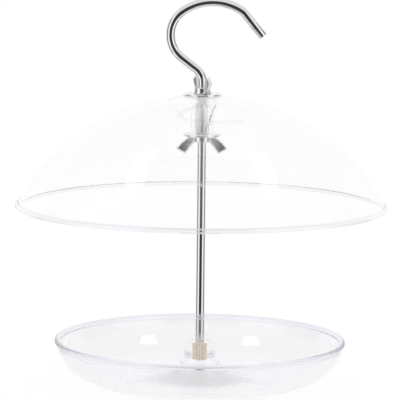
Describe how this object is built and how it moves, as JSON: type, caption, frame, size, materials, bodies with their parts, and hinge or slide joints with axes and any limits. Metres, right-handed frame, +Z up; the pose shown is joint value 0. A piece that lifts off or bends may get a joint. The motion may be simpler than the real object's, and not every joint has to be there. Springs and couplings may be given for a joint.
{
  "type": "hanging bird feeder",
  "caption": "Hanging bird feeder: a clear rain dome clamped on a chromed hook rod between wing nuts, above a clear round seed dish on the rod's threaded end.",
  "frame": {"origin": "on the rod's axis at the underside of the dish, where the feeder stands", "axes": "+Z up along the rod, the hook lies in the XZ plane with its tip towards +X"},
  "size_m": [0.25, 0.25, 0.2621],
  "materials": {
    "chrome": "polished chrome plate",
    "clear_plastic": "clear, gloss",
    "nylon": "milky, satin",
    "zinc": "zinc plate, satin",
    "brass": "knurled, satin"
  },
  "bodies": {
    "dish": {"feed_dish": "clear_plastic", "thread_insert": "brass"},
    "rod": {"hook_rod": "chrome"},
    "clamp": {"clamp_sleeve": "nylon"},
    "dome": {"dome_cover": "clear_plastic"},
    "top_washer": {"upper_washer": "zinc"},
    "top_nut": {"upper_wing_nut": "zinc"},
    "bottom_washer": {"lower_washer": "zinc"},
    "bottom_nut": {"lower_wing_nut": "zinc"}
  },
  "joints": [
    {"name": "rod_lift", "type": "slide", "parent": "dish", "child": "rod", "axis": [0, 0, 1], "range_m": [0, 0.02]},
    {"name": "clamp_slide", "type": "slide", "parent": "rod", "child": "clamp", "axis": [0, 0, 1], "range_m": [-0.115, 0]},
    {"name": "dome_turn", "type": "hinge", "parent": "clamp", "child": "dome", "pos_m": [0, 0, 0.18], "axis": [0, 0, 1], "continuous": true},
    {"name": "top_washer_rise", "type": "slide", "parent": "clamp", "child": "top_washer", "axis": [0, 0, 1], "range_m": [0, 0.0025]},
    {"name": "top_nut_turn", "type": "hinge", "parent": "top_washer", "child": "top_nut", "pos_m": [0, 0, 0.1979], "axis": [0, 0, 1], "range_deg": [0, 720]},
    {"name": "bottom_washer_drop", "type": "slide", "parent": "clamp", "child": "bottom_washer", "axis": [0, 0, -1], "range_m": [0, 0.0025]},
    {"name": "bottom_nut_turn", "type": "hinge", "parent": "bottom_washer", "child": "bottom_nut", "pos_m": [0, 0, 0.1691], "axis": [0, 0, -1], "range_deg": [0, 720]}
  ],
  "couplings": [
    {"joint": "top_washer_rise", "follows": "top_nut_turn", "m_per_rad": 0.0001989},
    {"joint": "bottom_washer_drop", "follows": "bottom_nut_turn", "m_per_rad": 0.0001989}
  ]
}
